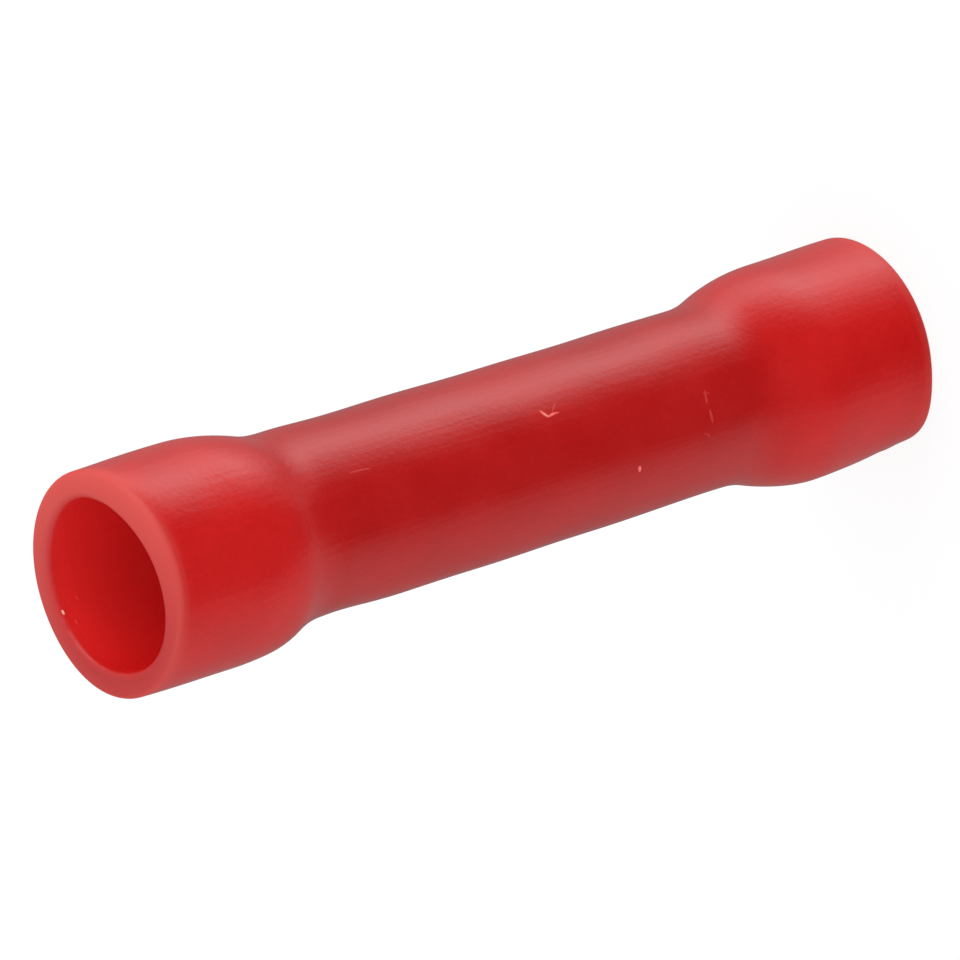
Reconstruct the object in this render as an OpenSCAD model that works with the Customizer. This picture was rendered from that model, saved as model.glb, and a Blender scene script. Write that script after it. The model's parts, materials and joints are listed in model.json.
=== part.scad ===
// Butt splice connector: a belled plastic sleeve over a metal crimp barrel.
// It stands on one mouth, with the wire axis along +Z and the origin at the centre of that mouth.

/* [Sleeve] */
// Length from mouth to mouth
overall_length = 25; // [22:0.1:40]
// Outside diameter of the two bells
bell_diameter = 5.9; // [5.5:0.05:7.5]
// Inside diameter of the two bells
bell_bore = 4.65; // [4:0.05:5.2]
// Length of each bell before it starts to narrow
bell_length = 2.9; // [1:0.1:4]
// Outside diameter of the waist
waist_diameter = 4.9; // [4.2:0.05:5.2]
// Radius of the rounded shoulder where a bell starts to narrow
shoulder_radius = 5.5; // [3:0.1:8]
// Radius of the hollow throat where a bell runs out into the waist
throat_radius = 3.2; // [2:0.1:6]
// Rounding of the outer edge of each mouth
rim_round = 0.1; // [0.05:0.05:0.35]

/* [Barrel] */
// Length of the barrel
barrel_length = 14; // [10:0.1:16]
// Outside diameter of the barrel
barrel_diameter = 3.3; // [2.8:0.05:3.6]
// Inside diameter of the barrel, for the stripped wires
barrel_bore = 1.7; // [1.2:0.05:2]
// Bevel on the outer edge of each barrel end
barrel_bevel = 0.15; // [0.05:0.01:0.25]
// Lead-in bevel at each mouth of the barrel bore
entry_bevel = 0.3; // [0.1:0.01:0.35]
// Room all round between the barrel and the sleeve
sleeve_clearance = 0.02; // [0.01:0.01:0.1]

/* [Wire stop] */
// Nose radius of the punch that dents the barrel
punch_radius = 0.6; // [0.4:0.05:0.8]
// Depth of the dent, and height of the bump that it leaves in the bore
stop_depth = 0.95; // [0.5:0.05:1.1]
// How far the bore draws in all round at the middle of the bump
stop_neck = 0.06; // [0.05:0.01:0.12]

/* [Hidden] */
$fn = 144;
arc_steps = 8;

bell_r = bell_diameter / 2;
bell_bore_r = bell_bore / 2;
waist_r = waist_diameter / 2;
barrel_r = barrel_diameter / 2;
barrel_bore_r = barrel_bore / 2;
waist_bore_r = barrel_r + sleeve_clearance;
middle = overall_length / 2;

// Outside of a bell: two arcs that meet at the same slope, the shoulder and then the throat
flare_radii = shoulder_radius + throat_radius;
flare_length = flare_radii * sin(acos(1 - (bell_r - waist_r) / flare_radii));
flare_end = bell_length + flare_length;

// Inside of a bell: two arcs over the same length, which draw it down to the waist bore
funnel_radii = flare_length / sin(2 * atan((bell_bore_r - waist_bore_r) / flare_length));
funnel_shoulder = funnel_radii * shoulder_radius / flare_radii;
funnel_throat = funnel_radii - funnel_shoulder;

// The dent: the punch nose and the bump in the bore are round about the same point, one wall apart
barrel_wall = barrel_r - barrel_bore_r;
bump_radius = punch_radius + barrel_wall;
punch_centre = barrel_r - stop_depth + punch_radius;
bump_reach = sqrt(pow(bump_radius, 2) - pow(punch_centre - barrel_bore_r, 2));
barrel_start = middle - barrel_length / 2;

// Points along an arc, from one angle to another
function arc(centre, radius, from, to, first = 0) = [
    for (i = [first : arc_steps])
        let (angle = from + (to - from) * i / arc_steps)
        centre + radius * [cos(angle), sin(angle)]
];

// Points of an S-curve from the end of a bell to the waist; the two arcs share their middle point
function flare(bell_end_r, waist_end_r, shoulder, throat) =
    let (angle = acos(1 - (bell_end_r - waist_end_r) / (shoulder + throat)))
    concat(
        arc([bell_end_r - shoulder, bell_length], shoulder, 0, angle),
        arc([waist_end_r + throat, flare_end], throat, 180 + angle, 180, first = 1)
    );

// The same points in the opposite order
function reversed(points) = [for (i = [len(points) - 1 : -1 : 0]) points[i]];

// Points of one end, any points between, and then the same points at the other end
function both_ends(points, between = []) =
    concat(points, between, [for (p = reversed(points)) [p.x, overall_length - p.y]]);

// Half-section of the sleeve
module sleeve_section() {
    outside = both_ends(concat(
        arc([bell_r - rim_round, rim_round], rim_round, -90, 0),
        flare(bell_r, waist_r, shoulder_radius, throat_radius)
    ));
    inside = both_ends(concat(
        [[bell_bore_r, 0]],
        flare(bell_bore_r, waist_bore_r, funnel_shoulder, funnel_throat)
    ));
    polygon(concat(outside, reversed(inside)));
}

// Belled tube of soft plastic
module insulating_sleeve() {
    color([0.74, 0.09, 0.09]) rotate_extrude() sleeve_section();
}

// Half-section of the barrel, with its bore drawn in a little towards the middle of the stop
module barrel_section() {
    outside = both_ends([
        [barrel_r - barrel_bevel, barrel_start],
        [barrel_r, barrel_start + barrel_bevel]
    ]);
    inside = both_ends([
        [barrel_bore_r + entry_bevel, barrel_start],
        [barrel_bore_r, barrel_start + entry_bevel],
        [barrel_bore_r, middle - bump_reach - stop_neck]
    ], between = [[barrel_bore_r - stop_neck, middle]]);
    polygon(concat(outside, reversed(inside)));
}

// Round-nosed punch, its tip on the inner side and its shank pointing out along +X
module punch() {
    translate([punch_centre, 0, middle]) rotate([0, 90, 0]) rotate_extrude() {
        intersection() {
            circle(punch_radius);
            translate([0, -punch_radius]) square(punch_radius);
        }
        square([punch_radius, barrel_r]);
    }
}

// Tin-plated copper tube with a punched wire stop
module crimp_barrel() {
    color([0.78, 0.77, 0.74]) difference() {
        union() {
            rotate_extrude() barrel_section();
            intersection() {
                translate([punch_centre, 0, middle]) sphere(bump_radius);
                translate([0, 0, barrel_start]) cylinder(r = barrel_bore_r + barrel_wall / 2, h = barrel_length);
            }
        }
        punch();
    }
}

insulating_sleeve();
crimp_barrel();
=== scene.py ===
# %% [markdown]
# # A red butt splice connector
#
# A butt splice joins two stripped wires end to end. A soft plastic sleeve, belled at both
# mouths, covers a metal barrel, and pliers squeeze the barrel onto the wires through it.
# The solid model fixes every size and place. This file gives the looks: finer surfaces for
# the same two pieces, the small marks of making and handling, their materials, a camera
# and a plain studio.

# %% Load the frame
import json

import bpy
import numpy as np
from mathutils import Euler, Matrix, Vector


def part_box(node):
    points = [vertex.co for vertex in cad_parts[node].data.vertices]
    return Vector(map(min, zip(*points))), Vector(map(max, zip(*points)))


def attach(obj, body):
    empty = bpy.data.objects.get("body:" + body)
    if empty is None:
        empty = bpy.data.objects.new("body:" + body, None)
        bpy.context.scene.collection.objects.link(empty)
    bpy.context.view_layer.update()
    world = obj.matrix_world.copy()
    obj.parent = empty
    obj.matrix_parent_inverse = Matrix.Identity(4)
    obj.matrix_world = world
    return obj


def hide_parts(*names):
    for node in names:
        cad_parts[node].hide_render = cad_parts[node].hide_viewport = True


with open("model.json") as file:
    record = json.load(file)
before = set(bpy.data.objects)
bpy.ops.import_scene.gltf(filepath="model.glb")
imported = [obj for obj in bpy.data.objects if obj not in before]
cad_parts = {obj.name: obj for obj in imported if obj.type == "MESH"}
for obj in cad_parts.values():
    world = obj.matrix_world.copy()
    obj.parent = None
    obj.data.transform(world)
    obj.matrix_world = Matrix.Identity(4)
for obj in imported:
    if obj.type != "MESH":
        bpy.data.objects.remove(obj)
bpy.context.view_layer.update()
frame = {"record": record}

# %% [markdown]
# ## Sizes
#
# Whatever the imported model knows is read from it, so that the looks follow the solids. The
# few sizes that it doesn't state are written here. All lengths are in millimetres, and they
# become metres only when a mesh is made. Angles round the tube are counted from +X.

# %% Sizes
MM = 0.001
mounts = {mount["name"]: mount["dims"] for mount in frame["record"]["mounts"]}
sleeve_low, sleeve_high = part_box("insulating_sleeve")
barrel_low, barrel_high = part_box("crimp_barrel")

LENGTH = sleeve_high.z / MM
MIDDLE = LENGTH / 2
BELL_R = sleeve_high.x / MM
BELL_BORE_R = mounts["wire_entry_top"]["r_mm"]
BELL_LENGTH = mounts["wire_entry_top"]["length_mm"]
BARREL_R = barrel_high.x / MM
BARREL_BOTTOM = barrel_low.z / MM
BARREL_BORE_R = mounts["conductor_bore_top"]["r_mm"]

WAIST_R = 2.45
SHOULDER = 5.5
THROAT = 3.2
SLEEVE_ROOM = 0.02
WAIST_BORE_R = BARREL_R + SLEEVE_ROOM
RIM_ROUND = 0.12
print(f"sleeve {LENGTH:.1f} mm long, bells {2 * BELL_R:.2f} mm, waist {2 * WAIST_R:.2f} mm across")

# %% [markdown]
# ## Camera
#
# The connector stands on one mouth, because lying on its side it would roll away. In the
# picture it slants across the frame with its other mouth towards us. So the camera looks
# down on it from one side and is rolled over, until the standing tube slants the same way.
# A long lens keeps the two bells almost the same size.

# %% Camera
LENS = 258.24
LOOK_AT = Vector((-0.331, 0.007, 13.136)) * MM
VIEW_DISTANCE = 176.675 * MM
VIEW_AZIMUTH = 0.136
VIEW_ELEVATION = 34.78
VIEW_ROLL = -107.567
SENSOR_WIDTH = 36
NEAREST_SEEN = 0.01

camera = bpy.data.objects.new("camera", bpy.data.cameras.new("camera"))
bpy.context.scene.collection.objects.link(camera)
bpy.context.scene.camera = camera
camera.data.lens = LENS
camera.data.sensor_width = SENSOR_WIDTH
camera.data.clip_start = NEAREST_SEEN
turned = Euler(np.radians((90 - VIEW_ELEVATION, 0, VIEW_AZIMUTH))).to_matrix()
turned = turned @ Matrix.Rotation(np.radians(VIEW_ROLL), 3, "Z")
camera.matrix_world = turned.to_4x4()
camera.location = LOOK_AT + turned @ Vector((0, 0, VIEW_DISTANCE))
print("camera at", [round(c / MM, 1) for c in camera.location], "mm")

# %% [markdown]
# ## Grids that become meshes
#
# Both pieces are turned shapes, and even the scuffs are small spindles. So each is a grid of
# points, with rows along a profile and columns round an axis. One helper numbers the faces
# of such a grid and another makes the object. Blender's Spin tool could do this too, but with
# a grid every point stays known, and can be moved or given a number later.

# %% Grid helpers
def grid_faces(rows, columns, closed):
    """Corner numbers of the four-sided cells of a grid whose columns close round.

    Cell (i, j) joins points (i, j), (i, j + 1), (i + 1, j + 1) and (i + 1, j), and where
    closed is true, the last row joins the first.
    """
    row = np.arange(rows if closed else rows - 1)[:, None]
    column = np.arange(columns)[None, :]
    row_on, column_on = (row + 1) % rows, (column + 1) % columns
    here, beside = row * columns + column, row * columns + column_on
    above, opposite = row_on * columns + column, row_on * columns + column_on
    return np.stack(np.broadcast_arrays(here, beside, opposite, above), -1).reshape(-1, 4)


def make_piece(name, points, faces):
    """Makes a smooth-shaded mesh object at the origin from points in mm and lists of corner numbers."""
    mesh = bpy.data.meshes.new(name)
    mesh.from_pydata((np.asarray(points).reshape(-1, 3) * MM).tolist(), [], faces, shade_flat=False)
    mesh.validate()
    piece = bpy.data.objects.new(name, mesh)
    bpy.context.scene.collection.objects.link(piece)
    triangles = sum(len(polygon.vertices) - 2 for polygon in mesh.polygons)
    print(f"{name}: {len(mesh.vertices)} points, {triangles} triangles")
    return piece


print("a ring of 3 rows and 8 columns has", len(grid_faces(3, 8, closed=False)), "cells")

# %% [markdown]
# ## A flat map of a grid
#
# A picture can only be baked onto a surface that has been laid out flat. Blender can guess such
# a layout, but a tube that is slit once and unrolled has no other seams and wastes no room. So
# the outside and the inside of a tube each become one rectangle.

# %% Flat map of a grid
def unroll(piece, rows, columns, along, outside_rows):
    """Lays a closed grid out flat: the outside fills the left half of the map and the inside the right half.

    Across each half goes the share of a turn, and up it the share of that half's length along the profile.
    """
    begin, end = np.arange(rows), np.arange(1, rows + 1)
    inside = begin >= outside_rows
    first = np.where(inside, along[outside_rows], along[0])
    span = np.where(inside, along[rows] - along[outside_rows], along[outside_rows] - along[0])
    low, high = (along[begin] - first) / span, (along[end] - first) / span
    left, right = np.arange(columns) / columns, np.arange(1, columns + 1) / columns
    across = np.stack(np.broadcast_arrays(left, right, right, left), -1)[None] / 2 + inside[:, None, None] / 2
    up = np.stack([low, low, high, high], -1)[:, None]
    layer = piece.data.uv_layers.new(name="OFBake")
    layer.uv.foreach_set("vector", np.stack(np.broadcast_arrays(across, up), -1).astype(np.float32).ravel())


def along_profile(profile):
    """Length along a closed profile at each of its points, and once more at the end of the last stretch."""
    steps = np.linalg.norm(np.diff(np.concatenate([profile, profile[:1]]), axis=0), axis=1)
    return np.concatenate([[0], np.cumsum(steps)])


print("once round a square of side 1:", along_profile(np.array([(0, 0), (1, 0), (1, 1), (0, 1)]))[-1])

# %% [markdown]
# ## Curves of a profile
#
# The sleeve is cut from extruded tube, and hot mandrels push its ends open. Its half-section
# is therefore a soft S at each end: a rounded shoulder and then a hollow throat, two arcs
# that meet at the same slope. A free curve could follow that by eye, but arcs are what the
# solid model has.

# %% Curves of a profile
def arc(centre, radius, start, stop, count):
    """Points (r, z) on a circle: centre + radius x (cos, sin) of angles from start to stop, in degrees."""
    angle = np.radians(np.linspace(start, stop, count))
    return np.asarray(centre) + radius * np.stack([np.cos(angle), np.sin(angle)], -1)


def straight(start, stop, count):
    """Evenly spaced points between two points, without the two themselves."""
    return np.linspace(start, stop, count + 2)[1:-1]


def bell_curve(bell_r, waist_r, shoulder, throat, count):
    """Two arcs that meet at one slope, from the end of a bell to the waist.

    Both turn by the angle whose cosine is 1 - (bell_r - waist_r) / (shoulder + throat).
    """
    turn = np.degrees(np.arccos(1 - (bell_r - waist_r) / (shoulder + throat)))
    end = BELL_LENGTH + (shoulder + throat) * np.sin(np.radians(turn))
    upper = arc((bell_r - shoulder, BELL_LENGTH), shoulder, 0, turn, count)
    lower = arc((waist_r + throat, end), throat, 180 + turn, 180, count)
    return np.concatenate([upper, lower[1:]])


def both_ends(half):
    """A half-profile from one mouth towards the middle, followed by its mirror image."""
    return np.concatenate([half, half[::-1] * (1, -1) + (0, LENGTH)])


lean = bell_curve(BELL_R, WAIST_R, SHOULDER, THROAT, 2)
print(f"each bell narrows over {lean[-1, 1] - lean[0, 1]:.2f} mm")

# %% [markdown]
# ## Profile of the sleeve
#
# The profile is worked out for the lower end and mirrored for the upper one, first the outside
# going up, then the inside coming down. The edges of the mouths are rounded a little, because
# an edge without any rounding catches no light.

# %% Profile of the sleeve
EDGE_ROUND = 0.18
ARC_POINTS = 14
EDGE_POINTS = 9
FACE_POINTS = 3
BELL_POINTS, WAIST_POINTS = 10, 24
BELL_BORE_POINTS, WAIST_BORE_POINTS = 8, 9


def sleeve_profile():
    """The closed half-section of the sleeve and the number of its points that lie on the outside."""
    outer_bell = bell_curve(BELL_R, WAIST_R, SHOULDER, THROAT, ARC_POINTS)
    flare = outer_bell[-1, 1] - BELL_LENGTH
    radii = flare / np.sin(2 * np.arctan((BELL_BORE_R - WAIST_BORE_R) / flare))
    share = SHOULDER / (SHOULDER + THROAT)
    inner_bell = bell_curve(BELL_BORE_R, WAIST_BORE_R, radii * share, radii * (1 - share), ARC_POINTS // 2)
    rim = arc((BELL_R - RIM_ROUND, RIM_ROUND), RIM_ROUND, -90, 0, EDGE_POINTS)
    edge = arc((BELL_BORE_R + EDGE_ROUND, EDGE_ROUND), EDGE_ROUND, -90, -180, EDGE_POINTS)
    outer = both_ends(np.concatenate([
        rim,
        straight(rim[-1], outer_bell[0], BELL_POINTS),
        outer_bell,
        straight(outer_bell[-1], (WAIST_R, MIDDLE), WAIST_POINTS),
    ]))
    inner = both_ends(np.concatenate([
        edge,
        straight(edge[-1], inner_bell[0], BELL_BORE_POINTS),
        inner_bell,
        straight(inner_bell[-1], (WAIST_BORE_R, MIDDLE), WAIST_BORE_POINTS),
    ]))
    face = straight(outer[-1], inner[-1], FACE_POINTS)
    profile = np.concatenate([outer, face, inner[::-1], face[::-1] * (1, -1) + (0, LENGTH)])
    return profile, len(outer) + len(face)


section, outside_rows = sleeve_profile()
print("sleeve profile:", len(section), "points, of which", outside_rows, "on the outside")

# %% [markdown]
# ## Unevenness of soft plastic
#
# Warm vinyl never keeps a true shape. The waist bows a little, one shoulder is fuller than
# the other, and the lower mouth has closed on one side and has a flat there. Each of these is
# a smooth swelling: it fades along the tube like a bell curve, and round it like a cosine. A
# few slow waves add the slight wobble that makes highlights look drawn by hand.

# %% Unevenness of the sleeve
COLUMNS = 384
turns = np.linspace(0, 2 * np.pi, COLUMNS, endpoint=False)
WOBBLE = 0.006
WAVES = [(0.9, 2, 0), (1.7, -3, 1), (0.5, 5, 2)]
SWELLINGS = {
    "upper throat, full": (0, 19.0, 1.1, 0.044),
    "waist, bowed in": (0, 10.2, 3.8, -0.042),
    "lower mouth, spread": (0, 0.0, 2.2, 0.062),
    "upper mouth, closed": (0, 25.0, 1.2, -0.03),
    "upper mouth, closed below": (180, 25.0, 1.2, -0.02),
    "upper shoulder, full": (180, 20.6, 0.7, 0.062),
    "upper throat, hollow": (180, 18.5, 1.1, -0.054),
    "waist, bowed out": (180, 12.2, 2.6, 0.030),
    "lower throat, hollow": (180, 6.4, 1.1, -0.025),
    "lower shoulder, full": (180, 3.1, 0.9, 0.040),
    "lower mouth, closed": (240, 0.3, 1.0, -0.057),
    "lower mouth, flat": (187, -0.5, 1.5, -0.135, 60),
    "lower mouth, pinched corner": (217, 0.0, 1.1, 0.075, 40),
}


def swelling(z, turn, towards, height, spread, rise, narrow=2):
    """How far one swelling moves the wall, in mm, at heights z and angles turn.

    It is rise x exp(-((z - height) / spread) squared) x ((1 + cos(turn - towards)) / 2) to the
    power narrow.
    """
    along = np.exp(-(((z - height) / spread) ** 2))
    return rise * along * ((1 + np.cos(turn - np.radians(towards))) / 2) ** narrow


def unevenness(z, turn):
    """Sum of the named swellings and of WOBBLE x sin(rate z + lobes turn + phase) for each wave, in mm."""
    waves = sum(np.sin(rate * z + lobes * turn + phase) for rate, lobes, phase in WAVES)
    return sum(swelling(z, turn, *values) for values in SWELLINGS.values()) + WOBBLE * waves


moved = unevenness(section[:, 1:], turns)
print(f"the wall moves by {moved.min():.2f} to {moved.max():.2f} mm")

# %% [markdown]
# ## The cut mouths
#
# A blade cuts the sleeve to length. It leaves the bore a little narrow and out of round at the
# upper mouth, and the inner edge, where it tore out, slightly ragged. A designer's model leaves
# this out, but without it a mouth looks machined. Displacing the mesh with a noise texture
# would move the outside too, so both are sums of waves that die away down the bore.

# %% The cut mouths
RAGGED = 0.009
RAGGED_DEPTH = 0.15
RAGGED_LOBES = np.arange(2, 46)[:, None]
BORE_DEPTH = 1.5
BORE_LOBES = {0: (-0.06, 0.0), 1: (-0.07, 0.01), 2: (0.0, 0.075), 3: (0.045, -0.02)}
random = np.random.default_rng(7)


def ragged_line(turn):
    """Sum over lobes k of cos(k turn + a random phase) / sqrt(k), so that finer waves are weaker."""
    phases = random.uniform(0, 2 * np.pi, RAGGED_LOBES.shape)
    return (np.cos(RAGGED_LOBES * turn + phases) / np.sqrt(RAGGED_LOBES)).sum(0)


def bore_offset(z, turn):
    """How far the bore lies off its circle below the upper mouth, in mm.

    It is the sum over lobes k of a cos(k turn) + b sin(k turn), times exp(-depth / BORE_DEPTH).
    """
    lobes = sum(a * np.cos(k * turn) + b * np.sin(k * turn) for k, (a, b) in BORE_LOBES.items())
    return lobes * np.exp(-(LENGTH - z) / BORE_DEPTH)


off_round = bore_offset(LENGTH, turns)
print(f"the bore's edge lies {off_round.min():.2f} to {off_round.max():.2f} mm off its circle")

# %% [markdown]
# ## The sleeve
#
# The profile is carried round the axis, with all the unevenness added to its radius. The cut at
# the upper mouth isn't quite square, and its outer edge is worn on one side. A Boolean cut would
# leave a hard edge and long thin faces there, so the points near the mouth are moved instead.

# %% The sleeve
SLANT = 0.22
SLANT_DEPTH = 1.5
RIM_DROP, RIM_IN = 0.25, 0.06


def sleeve_surface(profile, bore_share, turn):
    """Radius = profile + unevenness + bore_share x (raggedness + the bore's offset), turned round Z.

    Near the upper mouth, z drops by SLANT x near squared. Here near = (1 - sin(turn)) / 2, so the cut
    is lowest on the camera's side. There its outer edge is also worn round: it drops by RIM_DROP x
    near cubed and draws in by RIM_IN x near cubed, both x the square of the share of the wall's
    thickness. Returns points (rows, columns, 3) in mm.
    """
    r, z = profile[:, :1], profile[:, 1:]
    near = (1 - np.sin(turn)) / 2
    torn = RAGGED * np.exp(-np.minimum(z, LENGTH - z) / RAGGED_DEPTH) * (1 - near)
    lines = np.where(z > MIDDLE, ragged_line(turn), ragged_line(turn))
    radius = r + unevenness(z, turn) + bore_share * (torn * lines + bore_offset(z, turn))
    worn = near**3 * np.clip((r - BELL_BORE_R) / (BELL_R - BELL_BORE_R), 0, 1) ** 2
    drop = (SLANT * near**2 + RIM_DROP * worn) * np.clip(1 - (LENGTH - z) / SLANT_DEPTH, 0, 1)
    radius = radius - RIM_IN * worn * np.exp(-(LENGTH - z) / RAGGED_DEPTH)
    return np.stack(np.broadcast_arrays(radius * np.cos(turn), radius * np.sin(turn), z - drop), -1)


inside = (np.arange(len(section)) >= outside_rows).astype(float)[:, None]
face_steps = np.arange(1, FACE_POINTS + 1)[:, None] / (FACE_POINTS + 1)
bore_share = inside.copy()
bore_share[outside_rows - FACE_POINTS:outside_rows] = face_steps
bore_share[-FACE_POINTS:] = face_steps[::-1]
sleeve_faces = grid_faces(len(section), COLUMNS, closed=True).tolist()
sleeve = make_piece("sleeve", sleeve_surface(section, bore_share, turns), sleeve_faces)
unroll(sleeve, len(section), COLUMNS, along_profile(section), outside_rows)
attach(sleeve, "root")
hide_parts("insulating_sleeve")

# %% [markdown]
# ## Painted light at the mouths
#
# Vinyl lets some light through, and a cut face scatters it. Tracing that light inside the wall
# would be slow, so three numbers go with every point of the sleeve instead, and its material
# paints that light and shade into its colours by them. The first says how far a point belongs
# to a cut face, the second how much painted light fills the mouth there, and the third how
# much painted light comes through the wall, which is less on the side away from the lamp.

# %% Painted light at the mouths
CUT_FADE, FADE_SWING, FADE_TURN = 0.2, 0.45, 10
LIP_FADE = 0.13
LIT_MEAN, LIT_SWING, LIT_TURN, LIT_LEAST = 0.38, 0.62, 60, 0.25
WALL_LIGHT = 0.8
FACE_DIM, FACE_SWING, FACE_TURN, FACE_FALL = 0.42, 0.36, 10, 0.4


def cut_share(from_mouth, inside, turn):
    """exp(-distance from the mouth / fade): inside, fade = LIP_FADE.

    Outside, fade = CUT_FADE x (1 + FADE_SWING cos(2 turn + FADE_TURN)).
    """
    fade = CUT_FADE * (1 + FADE_SWING * np.cos(2 * turn + np.radians(FADE_TURN)))
    return np.exp(-from_mouth / np.where(inside > 0, LIP_FADE, fade))


def painted_light_inside(from_mouth, inside, turn):
    """Painted light in the mouth: LIT_MEAN + LIT_SWING cos(turn - LIT_TURN), between LIT_LEAST and 1.

    It is 0 outside, and inside it grows from 0 over the rounded lip.
    """
    lit = np.clip(LIT_MEAN + LIT_SWING * np.cos(turn - np.radians(LIT_TURN)), LIT_LEAST, 1)
    return inside * np.clip(from_mouth / EDGE_ROUND, 0, 1) * lit


def painted_light_through(r, turn):
    """Painted light through the wall: WALL_LIGHT on the outer wall. On a cut face it changes by
    FACE_SWING cos(turn + FACE_TURN) - FACE_DIM, so one side of the face is painted lit and the other shaded.

    There it also falls by FACE_FALL from the outer edge to the bore.
    """
    on_face = np.clip((BELL_R - r) / RIM_ROUND, 0, 1)
    across = np.clip((BELL_R - r) / (BELL_R - BELL_BORE_R), 0, 1)
    swing = FACE_SWING * np.cos(turn + np.radians(FACE_TURN))
    return WALL_LIGHT + on_face * (swing - FACE_DIM - FACE_FALL * (across - 0.5))


def give_points(piece, name, values):
    """Adds a number to every point of a piece, for its material to read."""
    layer = piece.data.attributes.new(name, "FLOAT", "POINT")
    layer.data.foreach_set("value", np.asarray(values, np.float32).ravel())


from_mouth = np.minimum(section[:, 1:], LENGTH - section[:, 1:])
give_points(sleeve, "cut", cut_share(from_mouth, inside, turns))
# The second and third numbers are painted light: in the mouths, and through the wall onto the cut faces.
give_points(sleeve, "inside", painted_light_inside(from_mouth, inside, turns))
give_points(sleeve, "through", painted_light_through(section[:, :1], turns))
carried = [layer.name for layer in sleeve.data.attributes if layer.data_type == "FLOAT"]
print("the sleeve's points carry:", carried)

# %% [markdown]
# ## Spindles
#
# Loose in a bag with hundreds of others, a sleeve picks up nicks. Soft vinyl doesn't chip: it
# lifts into a thin pale sliver. Painting these as lines would look flat from the side, so
# each is a spindle, a thin ellipse carried along a short path and drawn to a point at both
# ends, half sunk in the wall.

# %% Spindles
SPINDLE_ROWS = 13
SPINDLE_COLUMNS = 8


def wall_point(z, across, wall):
    """Points at height z on a wall, across degrees round from the camera's side towards +X.

    The wall is 1 for the outer one and -1 for the inner one.
    """
    turn = np.radians(across - 90)
    rows = section[:outside_rows] if wall > 0 else section[outside_rows:-FACE_POINTS][::-1]
    radius = np.interp(z, rows[:, 1], rows[:, 0]) + unevenness(z, turn) + (wall < 0) * bore_offset(z, turn)
    return np.stack([radius * np.cos(turn), radius * np.sin(turn), z], -1)


def spindle(path, out, width, height):
    """Rings round a path: path + share x (width/2 cos a sideways + height sin a outwards).

    share is the half circle sqrt(1 - (2t - 1) squared), which brings both ends to a point. The two
    end points lie half a step beyond the first and the last ring.
    """
    t = (np.arange(SPINDLE_ROWS) + 0.5)[:, None, None] / SPINDLE_ROWS
    share = np.sqrt(1 - (2 * t - 1) ** 2)
    a = np.linspace(0, 2 * np.pi, SPINDLE_COLUMNS, endpoint=False)[None, :, None]
    forward = np.gradient(path, axis=0)
    side = np.cross(out, forward)
    side /= np.linalg.norm(side, axis=1, keepdims=True)
    sideways, outwards = width / 2 * np.cos(a) * side[:, None], height * np.sin(a) * out[:, None]
    rings = path[:, None] + share * (sideways + outwards)
    ends = 1.5 * path[[0, -1]] - 0.5 * path[[1, -2]]
    return np.concatenate([rings.reshape(-1, 3), ends])


def spindle_faces():
    """Cells between the rings, and a fan of triangles from each end point to its ring."""
    first = np.arange(SPINDLE_COLUMNS)
    on = (first + 1) % SPINDLE_COLUMNS
    last = first + (SPINDLE_ROWS - 1) * SPINDLE_COLUMNS
    start = np.full(SPINDLE_COLUMNS, SPINDLE_ROWS * SPINDLE_COLUMNS)
    fans = np.concatenate([
        np.stack([start, on, first], -1), np.stack([start + 1, last, on + last[0]], -1)
    ])
    return grid_faces(SPINDLE_ROWS, SPINDLE_COLUMNS, closed=False).tolist() + fans.tolist()


def scuff(points, width, height, wall=1):
    """A spindle on a wall along the curve through two or three (z, across) points, fitted as a polynomial."""
    points = np.array(points, float)
    knots = np.linspace(0, 1, len(points))
    t = (np.arange(SPINDLE_ROWS) + 0.5) / SPINDLE_ROWS
    z, across = (np.polyval(np.polyfit(knots, values, len(points) - 1), t) for values in points.T)
    path = wall_point(z, across, wall)
    out = wall * path * (1, 1, 0)
    return spindle(path, out / np.linalg.norm(out, axis=1, keepdims=True), width, height)


print("a spindle has", len(spindle_faces()), "faces")

# %% [markdown]
# ## Scuffs and burrs
#
# Each mark has a name, a number for how pale it is, the points that it runs through, its width
# and its height. The blade also left a burr on the lip of the upper mouth and two pimples beside
# it. All of them go into one piece, because they share a finish.

# %% Scuffs and burrs
SCUFFS = [
    ("tick, left arm", 0.64, scuff([(12.31, 21.7), (12.24, 18.4), (12.14, 15.8)], 0.085, 0.02)),
    ("tick, right arm", 0.52, scuff([(12.19, 15.8), (12.00, 16.9), (11.79, 16.7)], 0.075, 0.02)),
    ("tick, stray hair", 0.20, scuff([(11.77, 22.7), (11.88, 20.4), (11.99, 18.0)], 0.05, 0.008)),
    ("scratch, upper half", 0.17, scuff([(7.22, 3.1), (7.26, -1.0), (7.29, -5.3)], 0.075, 0.004)),
    ("scratch, lower half", 0.15, scuff([(7.25, -8.7), (7.24, -13.0), (7.23, -17.6)], 0.085, 0.004)),
    ("scratch, side nick", 0.10, scuff([(7.34, 1.6), (7.13, 0.8)], 0.06, 0.003)),
    ("curl", 0.10, scuff([(7.57, -22.5), (7.44, -23.4), (7.34, -26.1)], 0.05, 0.004)),
    ("speck", 0.60, scuff([(9.72, -29.9), (9.71, -34.0)], 0.10, 0.02)),
    ("dot", 0.08, scuff([(6.83, -42.4), (6.80, -44.0)], 0.06, 0.01)),
    ("rub", 0.13, scuff([(18.48, 19.4), (18.14, 19.2), (17.81, 18.3)], 0.07, 0.003)),
    ("burr on the lip", 1.0, scuff([(24.86, -173.0), (24.84, -169.5)], 0.07, 0.04, -1)),
    ("first pimple", 0.10, scuff([(24.33, -178.6), (24.30, -176.0)], 0.10, 0.004, -1)),
    ("second pimple", 0.10, scuff([(24.62, -164.6), (24.58, -161.0)], 0.10, 0.004, -1)),
]
shapes = [shape for _, _, shape in SCUFFS]
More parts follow.
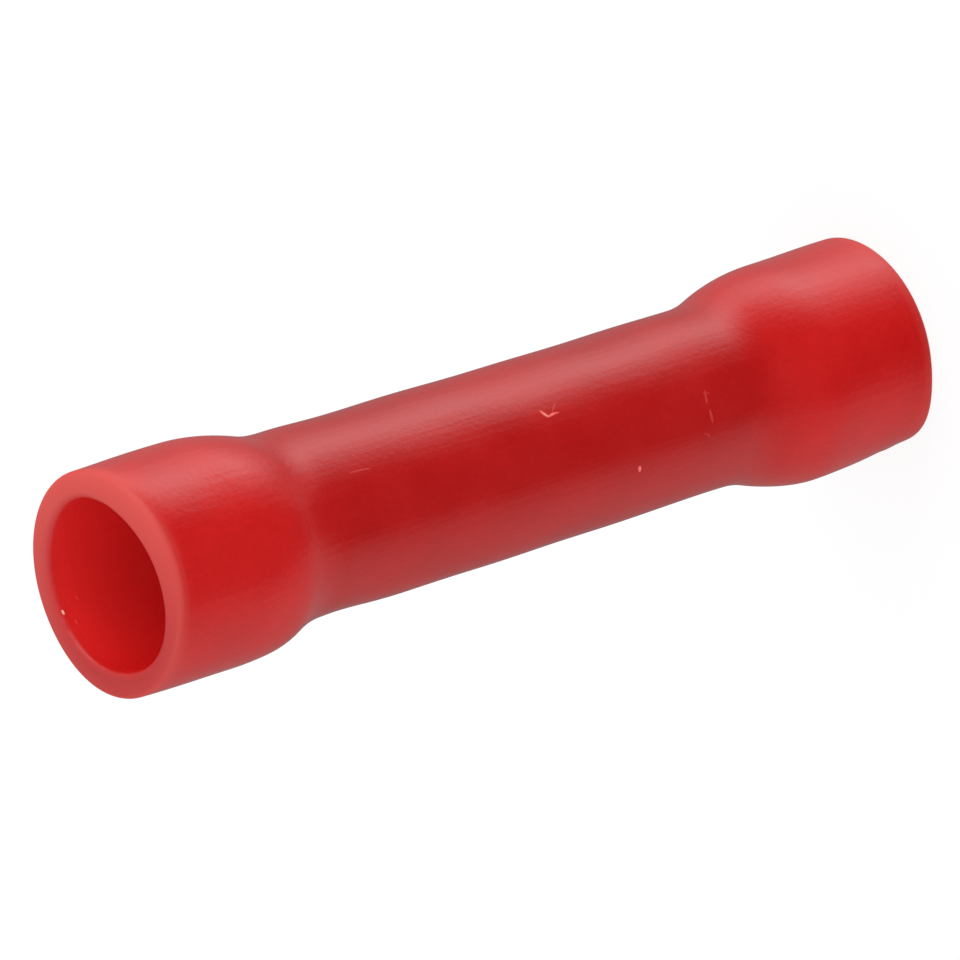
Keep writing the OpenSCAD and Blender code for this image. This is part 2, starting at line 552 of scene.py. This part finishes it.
one = spindle_faces()
scuff_faces = [[corner + k * len(shapes[0]) for corner in face] for k in range(len(shapes)) for face in one]
scuffs = make_piece("scuffs", np.concatenate(shapes), scuff_faces)
give_points(scuffs, "pale", np.repeat([pale for _, pale, _ in SCUFFS], len(shapes[0])))
give_points(scuffs, "inside", np.repeat(["pimple" in name for name, _, _ in SCUFFS], len(shapes[0])))
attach(scuffs, "root")

# %% [markdown]
# ## Profile of the barrel
#
# The barrel is a short drawn copper tube, tinned, with bevelled mouths that guide the strands
# of a wire in. It is turned from a profile like the sleeve. A Bevel modifier could soften its
# corners, but in the profile it takes only three points for each. The points lie close together
# in the middle, where a punch will dent the wall.

# %% Profile of the barrel
BARREL_BEVEL = 0.15
ENTRY_BEVEL = 0.3
CORNER = 0.03
PUNCH_R = 0.6
STOP_DEPTH = 0.95
STOP_NECK = 0.06
STOP_MARGIN, STOP_POINTS = 0.1, 34
PUNCH_X = BARREL_R - STOP_DEPTH + PUNCH_R
BUMP_R = PUNCH_R + BARREL_R - BARREL_BORE_R


def softened(corners, radius):
    """Replaces each corner of an open line by three points of a curve that starts and ends radius away."""
    corners = np.asarray(corners, float)
    into, out_of = corners[:-2] - corners[1:-1], corners[2:] - corners[1:-1]
    into *= radius / np.linalg.norm(into, axis=1, keepdims=True)
    out_of *= radius / np.linalg.norm(out_of, axis=1, keepdims=True)
    curve = np.stack([corners[1:-1] + into, corners[1:-1] + (into + out_of) / 4, corners[1:-1] + out_of], 1)
    return np.concatenate([corners[:1], curve.reshape(-1, 2), corners[-1:]])


def barrel_profile():
    """The closed half-section of the barrel, close-set at the stop, and its number of outside points."""
    face_r = (BARREL_R - BARREL_BEVEL + BARREL_BORE_R + ENTRY_BEVEL) / 2
    stop = BUMP_R + STOP_MARGIN
    outside = softened([
        (face_r, BARREL_BOTTOM), (BARREL_R - BARREL_BEVEL, BARREL_BOTTOM),
        (BARREL_R, BARREL_BOTTOM + BARREL_BEVEL), (BARREL_R, MIDDLE - stop)
    ], CORNER)
    inside = softened([
        (face_r, BARREL_BOTTOM), (BARREL_BORE_R + ENTRY_BEVEL, BARREL_BOTTOM),
        (BARREL_BORE_R, BARREL_BOTTOM + ENTRY_BEVEL), (BARREL_BORE_R, MIDDLE - stop)
    ], CORNER)
    dent = straight((BARREL_R, MIDDLE - stop), (BARREL_R, MIDDLE), STOP_POINTS)
    neck = straight((BARREL_BORE_R, MIDDLE - stop), (BARREL_BORE_R - STOP_NECK, MIDDLE), STOP_POINTS)
    outer = both_ends(np.concatenate([outside, dent]))
    inner = both_ends(np.concatenate([inside, neck]))
    return np.concatenate([outer, inner[-2:0:-1]]), len(outer)


barrel_section, barrel_outside = barrel_profile()
print("barrel profile:", len(barrel_section), "points, of which", barrel_outside, "on the outside")

# %% [markdown]
# ## The barrel
#
# Halfway along, a punch has pushed the barrel's wall in from one side, to stop the wires. A
# Boolean would cut the wall through there, but a punch only bends it. So the points of that side
# move: outside they follow the punch's nose, and in the bore a rounder bump one wall away.

# %% The barrel
BARREL_COLUMNS = 256


def barrel_surface(profile, outside):
    """The profile turned round Z, then pushed in along X where the punch and its bump reach.

    A sphere of radius R about (PUNCH_X, 0, MIDDLE) has its inner side at
    x = PUNCH_X - sqrt(R^2 - y^2 - (z - MIDDLE)^2), and a wall point further out than that moves in to it.
    """
    turn = np.linspace(0, 2 * np.pi, BARREL_COLUMNS, endpoint=False)
    r, z = profile[:, :1], profile[:, 1:] + 0 * turn
    x, y = r * np.cos(turn), r * np.sin(turn)
    sphere_r = np.where(np.arange(len(profile)) < outside, PUNCH_R, BUMP_R)[:, None]
    reach = sphere_r**2 - y**2 - (z - MIDDLE) ** 2
    nose = PUNCH_X - np.sqrt(np.maximum(reach, 0))
    x = np.where((reach > 0) & (x > 0), np.minimum(x, nose), x)
    return np.stack([x, y, z], -1)


barrel_points = barrel_surface(barrel_section, barrel_outside)
barrel_faces = grid_faces(len(barrel_section), BARREL_COLUMNS, closed=True).tolist()
barrel = make_piece("barrel", barrel_points, barrel_faces)
unroll(barrel, len(barrel_section), BARREL_COLUMNS, along_profile(barrel_section), barrel_outside)
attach(barrel, "root")
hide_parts("crimp_barrel")

# %% [markdown]
# ## Effects that materials share
#
# Both tubes are drawn through a die, so both carry faint lines along their length, and both
# have a fine grain and soft clouds of uneven colour. Each effect is a node group that reads
# Object coordinates and puts out a plain number, so a material decides what to do with it.

# %% Shared node groups
LINE_STRETCH = 25


def node_group(name, inputs, outputs):
    """Starts a shader node group with float inputs {name: default} and float outputs."""
    group = bpy.data.node_groups.new(name, "ShaderNodeTree")
    for label, default in inputs.items():
        socket = group.interface.new_socket(label, in_out="INPUT", socket_type="NodeSocketFloat")
        socket.default_value = default
    for label in outputs:
        group.interface.new_socket(label, in_out="OUTPUT", socket_type="NodeSocketFloat")
    return group, group.nodes.new("NodeGroupInput"), group.nodes.new("NodeGroupOutput")


def noise_of(tree, vector, scale, detail):
    """Adds a noise texture, with its place and scale from two sockets, and returns its number."""
    noise = tree.nodes.new("ShaderNodeTexNoise")
    noise.inputs["Detail"].default_value = detail
    tree.links.new(vector, noise.inputs["Vector"])
    tree.links.new(scale, noise.inputs["Scale"])
    return noise.outputs["Fac"]


def drawn_lines_group():
    """Noise stretched LINE_STRETCH times along Z, which makes lines: Per metre sets how close they lie."""
    group, given, result = node_group("drawn_lines", {"Per metre": 4000.0}, ["Lines"])
    place = group.nodes.new("ShaderNodeTexCoord")
    squeeze = group.nodes.new("ShaderNodeMapping")
    squeeze.inputs["Scale"].default_value = (1, 1, 1 / LINE_STRETCH)
    group.links.new(place.outputs["Object"], squeeze.inputs["Vector"])
    noise = noise_of(group, squeeze.outputs["Vector"], given.outputs["Per metre"], 2)
    group.links.new(noise, result.inputs["Lines"])
    return group


def skin_group():
    """Two noises: Grain is fine, like a satin skin, and Clouds is slow, like uneven pigment."""
    scales = {"Grain per metre": 9000.0, "Clouds per metre": 500.0}
    group, given, result = node_group("skin", scales, ["Grain", "Clouds"])
    place = group.nodes.new("ShaderNodeTexCoord")
    for label, detail in (("Grain", 3), ("Clouds", 2)):
        noise = noise_of(group, place.outputs["Object"], given.outputs[f"{label} per metre"], detail)
        group.links.new(noise, result.inputs[label])
    return group


DRAWN_LINES, SKIN = drawn_lines_group(), skin_group()
print("node groups:", DRAWN_LINES.name, SKIN.name)

# %% [markdown]
# ## Helpers for materials
#
# A finish is a tree of nodes that ends in a shader. Clicked together by hand such a tree is soon
# hard to follow, so small helpers keep it readable: one starts a material, one places a group,
# one turns a range of numbers into another and one does sums.

# %% Node helpers
def new_material(name):
    """An empty node material with a Principled shader. Returns the material, its tree and the shader."""
    material = bpy.data.materials.new(name)
    material.use_nodes = True
    return material, material.node_tree, material.node_tree.nodes["Principled BSDF"]


def place_group(tree, group, **values):
    """Puts a node group into a tree and sets its inputs, given with _ for each space."""
    node = tree.nodes.new("ShaderNodeGroup")
    node.node_tree = group
    for label, value in values.items():
        node.inputs[label.replace("_", " ")].default_value = value
    return node


def mapped(tree, value, low, high, to_low, to_high, smooth=True):
    """Maps low..high to to_low..to_high, with eased ends where smooth is true, and returns the new value."""
    node = tree.nodes.new("ShaderNodeMapRange")
    node.interpolation_type = "SMOOTHSTEP" if smooth else "LINEAR"
    for label, number in (("From Min", low), ("From Max", high), ("To Min", to_low), ("To Max", to_high)):
        node.inputs[label].default_value = number
    tree.links.new(value, node.inputs["Value"])
    return node.outputs["Result"]


def maths(tree, operation, first, second):
    """One Math node; each side is a socket or a number."""
    node = tree.nodes.new("ShaderNodeMath")
    node.operation = operation
    for socket, value in zip(node.inputs, (first, second)):
        if isinstance(value, (int, float)):
            socket.default_value = value
        else:
            tree.links.new(value, socket)
    return node.outputs["Value"]


print("helpers that place and link nodes are ready")

# %% [markdown]
# ## Helpers for colour and relief
#
# Three more helpers read the numbers that points carry, mix two colours, and let a pattern stand
# out a little. Bump only bends the light: real relief as fine as a satin skin would need
# millions of faces.

# %% Colour and relief helpers
def point_value(tree, name):
    """The number that a piece's points carry under a name."""
    node = tree.nodes.new("ShaderNodeAttribute")
    node.attribute_name = name
    return node.outputs["Fac"]


def blended(tree, factor, first, second, blend="MIX"):
    """Mixes two colours, each a socket or (r, g, b), and returns the result."""
    node = tree.nodes.new("ShaderNodeMix")
    node.data_type = "RGBA"
    node.blend_type = blend
    for socket, value in ((node.inputs[0], factor), (node.inputs[6], first), (node.inputs[7], second)):
        if isinstance(value, tuple):
            socket.default_value = (*value, 1)
        elif isinstance(value, (int, float)):
            socket.default_value = value
        else:
            tree.links.new(value, socket)
    return node.outputs[2]


def bumped(tree, shader, height, distance):
    """Feeds a height into the shader's normal. distance is how far, in metres, a height of 1 rises."""
    bump = tree.nodes.new("ShaderNodeBump")
    bump.inputs["Distance"].default_value = distance
    tree.links.new(height, bump.inputs["Height"])
    tree.links.new(bump.outputs["Normal"], shader.inputs["Normal"])


print("helpers for colour and relief are ready")

# %% [markdown]
# ## Red vinyl
#
# The sleeve is soft vinyl, satin on the outside. Over the barrel the metal behind it takes
# light away, so the waist is painted a deeper red than the bells, which light reaches from
# both sides: that deeper red is painted shade. Light that comes through the thin wall is
# painted into the mouths as a clear red, which is painted light. The cut faces are paler and
# rougher, and their colour blends between a lit and a shaded copy, which is painted light
# and shade. Faint lines run along the tube.

# %% Red vinyl
# The waist red is painted shade from the barrel behind the wall. The inside red is painted light that comes
# through the thin wall. The cut red and the shaded cut are a lit and a shaded copy of a cut face's paler
# colour, so they hold painted light and shade.
BELL_RED = (0.60, 0.003, 0.003)
SHADED_WAIST_RED = (0.470, 0.002, 0.002)
LIT_CUT_RED = (0.75, 0.068, 0.054)
SHADED_CUT = (0.50, 0.008, 0.008)
INSIDE_PAINTED_LIGHT_RED = (1.00, 0.032, 0.032)
BARREL_SHADE_FADE = 1.5
BARREL_SHADE_LEAD = 0.6
CUT_ROUGHNESS = 0.3
LINE_SHARE = 0.85
SATIN_RELIEF = 7.5e-6


def barrel_shade_share(tree):
    """1 where the barrel lies behind the wall and 0 in the bells, eased at both ends of the barrel: where the
    barrel's shade is painted.
    """
    place = tree.nodes.new("ShaderNodeTexCoord")
    axes = tree.nodes.new("ShaderNodeSeparateXYZ")
    tree.links.new(place.outputs["Object"], axes.inputs["Vector"])
    start, fade = (BARREL_BOTTOM - BARREL_SHADE_LEAD) * MM, BARREL_SHADE_FADE * MM
    low, high = start, LENGTH * MM - start
    begins = mapped(tree, axes.outputs["Z"], low - fade, low + fade, 0, 1)
    ends = mapped(tree, axes.outputs["Z"], high - fade, high + fade, 1, 0)
    return maths(tree, "MULTIPLY", begins, ends)


def red_vinyl():
    """Two reds by what lies behind, the deeper one painted shade, clouded by the skin group; painted light
    inside the mouths; cut faces paler, blended between a lit and a shaded copy; lines and grain as bump.
    """
    material, tree, shader = new_material("red_vinyl")
    skin = place_group(tree, SKIN, Grain_per_metre=8000, Clouds_per_metre=450)
    lines = place_group(tree, DRAWN_LINES, Per_metre=7000)
    cut_faces, inside_painted_light = point_value(tree, "cut"), point_value(tree, "inside")
    red = blended(tree, barrel_shade_share(tree), BELL_RED, SHADED_WAIST_RED)
    clouds = mapped(tree, skin.outputs["Clouds"], 0.3, 0.7, 0.95, 1.05)
    shade = maths(tree, "MULTIPLY", clouds, mapped(tree, skin.outputs["Grain"], 0.3, 0.7, 0.965, 1.035))
    red = blended(tree, 1.0, red, shade, "MULTIPLY")
    # Painted light: the inside of the mouths is lit as if light came through the wall.
    red = blended(tree, inside_painted_light, red, INSIDE_PAINTED_LIGHT_RED)
    # Painted light and shade: the cut faces blend from a shaded to a lit copy of their paler colour.
    red = blended(tree, cut_faces, red, blended(tree, point_value(tree, "through"), SHADED_CUT, LIT_CUT_RED))
    tree.links.new(red, shader.inputs["Base Color"])
    rough = mapped(tree, skin.outputs["Clouds"], 0.3, 0.7, 0.20, 0.25)
    rough = maths(tree, "ADD", rough, maths(tree, "MULTIPLY", cut_faces, CUT_ROUGHNESS))
    tree.links.new(rough, shader.inputs["Roughness"])
    line_relief = maths(tree, "MULTIPLY", lines.outputs["Lines"], LINE_SHARE)
    bumped(tree, shader, maths(tree, "ADD", skin.outputs["Grain"], line_relief), SATIN_RELIEF)
    shader.inputs["IOR"].default_value = 1.5
    return material


sleeve.data.materials.append(red_vinyl())
print("sleeve finish:", sleeve.data.materials[0].name)

# %% [markdown]
# ## Whitened vinyl
#
# Where vinyl is torn or lifted, tiny cracks scatter the light. A light rub only makes the red
# brighter, and a real tear goes pale. How far that goes is a number that each scuff brings with
# it: up to a half it turns to the torn red, and from there on to the pale one. The scuffs share
# the skin group with the sleeve, at a coarser scale, so that they look frayed.

# %% Whitened vinyl
TORN_RED = (0.92, 0.08, 0.07)
PALE_RED = (1.00, 0.50, 0.40)
TORN_RELIEF = 5e-6


def whitened_vinyl():
    """The waist's painted-shade red, or for pimples the painted-light inside red, to torn red to pale red by
    each scuff's number, frayed by the clouds; a grain as bump.
    """
    material, tree, shader = new_material("whitened_vinyl")
    skin = place_group(tree, SKIN, Grain_per_metre=12000, Clouds_per_metre=4000)
    frayed = mapped(tree, skin.outputs["Clouds"], 0.3, 0.7, 0.75, 1.15)
    pale = maths(tree, "MULTIPLY", point_value(tree, "pale"), frayed)
    # Under the scuffs the waist's painted shade, and for the pimples the painted light inside the mouth.
    red = blended(tree, point_value(tree, "inside"), SHADED_WAIST_RED, INSIDE_PAINTED_LIGHT_RED)
    red = blended(tree, mapped(tree, pale, 0, 0.5, 0, 1, smooth=False), red, TORN_RED)
    red = blended(tree, mapped(tree, pale, 0.5, 1, 0, 1, smooth=False), red, PALE_RED)
    tree.links.new(red, shader.inputs["Base Color"])
    tree.links.new(mapped(tree, skin.outputs["Grain"], 0.3, 0.7, 0.25, 0.35), shader.inputs["Roughness"])
    bumped(tree, shader, skin.outputs["Grain"], TORN_RELIEF)
    return material


scuffs.data.materials.append(whitened_vinyl())
print("scuff finish:", scuffs.data.materials[0].name)

# %% [markdown]
# ## Tinned copper
#
# The barrel is copper with a thin dull coat of tin. Lines from drawing run along it, the tin
# has clouded unevenly, and where it is thin a little copper shows through.

# %% Tinned copper
TIN = (0.70, 0.69, 0.66)
DULL_TIN = (0.50, 0.49, 0.47)
COPPER = (0.72, 0.43, 0.30)
TIN_RELIEF = 3e-6


def tinned_copper():
    """Tin that clouds to a duller tin, a hint of copper in the thin spots, rougher along the drawn lines."""
    material, tree, shader = new_material("tinned_copper")
    skin = place_group(tree, SKIN, Grain_per_metre=20000, Clouds_per_metre=1500)
    lines = place_group(tree, DRAWN_LINES, Per_metre=9000)
    tin = blended(tree, mapped(tree, skin.outputs["Clouds"], 0.35, 0.65, 0, 1), TIN, DULL_TIN)
    thin = mapped(tree, skin.outputs["Clouds"], 0.62, 0.75, 0, 0.5)
    tree.links.new(blended(tree, thin, tin, COPPER), shader.inputs["Base Color"])
    tree.links.new(mapped(tree, lines.outputs["Lines"], 0.3, 0.7, 0.26, 0.42), shader.inputs["Roughness"])
    relief = maths(tree, "ADD", lines.outputs["Lines"], skin.outputs["Grain"])
    bumped(tree, shader, relief, TIN_RELIEF)
    shader.inputs["Metallic"].default_value = 1.0
    return material


barrel.data.materials.append(tinned_copper())
print("barrel finish:", barrel.data.materials[0].name)

# %% [markdown]
# ## Floor
#
# The background is plain white. Rays from the camera, and those that gloss and glass send out,
# meet a white glow with a little real shading, so that a faint shadow stays under the connector.
# All other rays meet a pale matt floor, which bounces soft light back at the sleeve. More light
# would whiten a plain floor too, but it would also bleach the red.

# %% Floor
FLOOR_SIZE = 1.0
FLOOR_GLOW = 0.86
FLOOR_SHADING = 0.16
FLOOR_BOUNCE = 0.86


def seen_rays(tree):
    """1 for camera, glossy and transmission rays, and 0 for the rest."""
    rays = tree.nodes.new("ShaderNodeLightPath")
    seen = maths(tree, "MAXIMUM", rays.outputs["Is Camera Ray"], rays.outputs["Is Glossy Ray"])
    return maths(tree, "MAXIMUM", seen, rays.outputs["Is Transmission Ray"])


def floor_material():
    """Emission plus a weak diffuse for seen rays, and a plain pale diffuse for all others."""
    material = bpy.data.materials.new("pale_floor")
    material.use_nodes = True
    tree = material.node_tree
    tree.nodes.remove(tree.nodes["Principled BSDF"])
    glow = tree.nodes.new("ShaderNodeEmission")
    glow.inputs["Strength"].default_value = FLOOR_GLOW
    shading, bounce = tree.nodes.new("ShaderNodeBsdfDiffuse"), tree.nodes.new("ShaderNodeBsdfDiffuse")
    shading.inputs["Color"].default_value = (FLOOR_SHADING,) * 3 + (1,)
    bounce.inputs["Color"].default_value = (FLOOR_BOUNCE,) * 3 + (1,)
    both, pick = tree.nodes.new("ShaderNodeAddShader"), tree.nodes.new("ShaderNodeMixShader")
    tree.links.new(glow.outputs[0], both.inputs[0])
    tree.links.new(shading.outputs[0], both.inputs[1])
    tree.links.new(seen_rays(tree), pick.inputs["Fac"])
    tree.links.new(bounce.outputs[0], pick.inputs[1])
    tree.links.new(both.outputs[0], pick.inputs[2])
    tree.links.new(pick.outputs[0], tree.nodes["Material Output"].inputs["Surface"])
    return material


corner = FLOOR_SIZE / 2 / MM
floor_corners = [(-corner, -corner, 0), (corner, -corner, 0), (corner, corner, 0), (-corner, corner, 0)]
floor = make_piece("floor", floor_corners, [[0, 1, 2, 3]])
floor.data.materials.append(floor_material())

# %% [markdown]
# ## Sky
#
# The sky is an even white that fills the shadows, like a light tent round a small product. The
# rays that are seen find it at full white, and the light that it gives is a little weaker.

# %% Sky
SKY_LIGHT = 0.93

world = bpy.data.worlds.new("sky")
bpy.context.scene.world = world
world.use_nodes = True
sky = world.node_tree
sky_light = mapped(sky, seen_rays(sky), 0, 1, SKY_LIGHT, 1.0, smooth=False)
sky.links.new(sky_light, sky.nodes["Background"].inputs["Strength"])
sky.nodes["Background"].inputs["Color"].default_value = (1, 1, 1, 1)
print("the sky lights with a strength of", SKY_LIGHT)

# %% [markdown]
# ## Lamp
#
# One large soft lamp lights the connector from above the camera's right. A small one would draw
# a hard shadow and a sharp streak, which soft vinyl seldom shows.

# %% Lamp
LAMP_AZIMUTH = 72
LAMP_ELEVATION = 28
LAMP_DISTANCE = 0.4
LAMP_SIZE = 0.3
LAMP_POWER = 0.40

lamp = bpy.data.objects.new("soft_lamp", bpy.data.lights.new("soft_lamp", "AREA"))
bpy.context.scene.collection.objects.link(lamp)
lamp.data.size = LAMP_SIZE
lamp.data.energy = LAMP_POWER
lamp_turn = Euler(np.radians((90 - LAMP_ELEVATION, 0, LAMP_AZIMUTH)))
lamp.matrix_world = lamp_turn.to_matrix().to_4x4()
lamp.location = Vector((0, 0, MIDDLE * MM)) + lamp_turn.to_matrix() @ Vector((0, 0, LAMP_DISTANCE))
print("lamp at", [round(c, 2) for c in lamp.location], "m")

# %% [markdown]
# ## Reflector
#
# Gloss is another matter, because a satin tube shows what stands round it. So a dome of cards
# stands far off, as a photographer would place them, and shows only in reflections. It is dark on
# the camera's side, has a bright soft strip to one side and is grey elsewhere. A few levels of
# glow are given by azimuth at some heights, and all points between are interpolated from those.
# The dome reaches below the floor, so the floor is hidden from gloss.

# %% Reflector
DOME_RADIUS = 420
DOME_COLUMNS, DOME_ROWS = 144, 72
DOME_LOWEST = -89.5
GLOW = {
    -90: {-180: 0.5, 180: 0.5},
    -58: {-180: 0.36, -140: 0.46, -110: 0.50, -60: 0.55, -20: 0.03, 15: 0.05, 40: 0.44, 80: 0.42,
          110: 0.36, 180: 0.36},
    -36: {-180: 0.24, -140: 0.28, -120: 0.40, -100: 0.54, -80: 0.63, -60: 0.48, -38: 0.04, 24: 0.01, 42: 0.45,
          60: 1.68, 78: 2.80, 90: 2.28, 100: 1.46, 120: 0.55, 150: 0.30, 180: 0.24},
    -8: {-180: 0.30, -90: 0.55, -56: 0.42, -34: 0.01, 44: 0.01, 58: 0.25, 72: 0.90, 92: 1.95,
         107: 1.50, 124: 0.65, 150: 0.35, 180: 0.30},
    16: {-180: 0.32, -90: 0.50, -50: 0.01, 55: 0.01, 95: 1.50, 125: 0.65, 180: 0.32},
    40: {-180: 0.32, -90: 0.55, -40: 0.30, 40: 0.30, 90: 0.75, 180: 0.32},
    52: {-180: 1.00, 180: 1.00},
}


def dome_grid():
    """Points of a sphere about the connector's middle, up to the last height, and each point's glow.

    The azimuth counts in degrees from the camera's side towards +X. Between the given azimuths and
    heights the glow is interpolated in straight lines.
    """
    azimuth = np.linspace(-180, 180, DOME_COLUMNS, endpoint=False)
    heights = np.linspace(DOME_LOWEST, max(GLOW), DOME_ROWS)
    rows = np.array([np.interp(azimuth, list(row), list(row.values())) for row in GLOW.values()])
    glow = np.stack([np.interp(heights, list(GLOW), column) for column in rows.T], -1)
    turn, rise = np.radians(azimuth - 90), np.radians(heights)[:, None]
    x, y = np.cos(rise) * np.cos(turn), np.cos(rise) * np.sin(turn)
    sphere = np.stack(np.broadcast_arrays(x, y, np.sin(rise) + 0 * turn), -1)
    return sphere * DOME_RADIUS + (0, 0, MIDDLE), glow


def dome_material():
    """Plain emission, as strong as the glow that each point carries."""
    material = bpy.data.materials.new("dome")
    material.use_nodes = True
    tree = material.node_tree
    tree.nodes.remove(tree.nodes["Principled BSDF"])
    emission = tree.nodes.new("ShaderNodeEmission")
    tree.links.new(point_value(tree, "glow"), emission.inputs["Strength"])
    tree.links.new(emission.outputs[0], tree.nodes["Material Output"].inputs["Surface"])
    return material


dome_points, dome_glow = dome_grid()
dome = make_piece("dome", dome_points, grid_faces(*dome_points.shape[:2], closed=False).tolist())
give_points(dome, "glow", dome_glow)
dome.data.materials.append(dome_material())
dome.visible_camera = dome.visible_diffuse = False
dome.visible_transmission = dome.visible_shadow = False
floor.visible_glossy = False

# %% [markdown]
# ## Finish
#
# Colours are shown as they are, with the standard view transform.

# %% Finish
bpy.context.scene.view_settings.view_transform = "Standard"
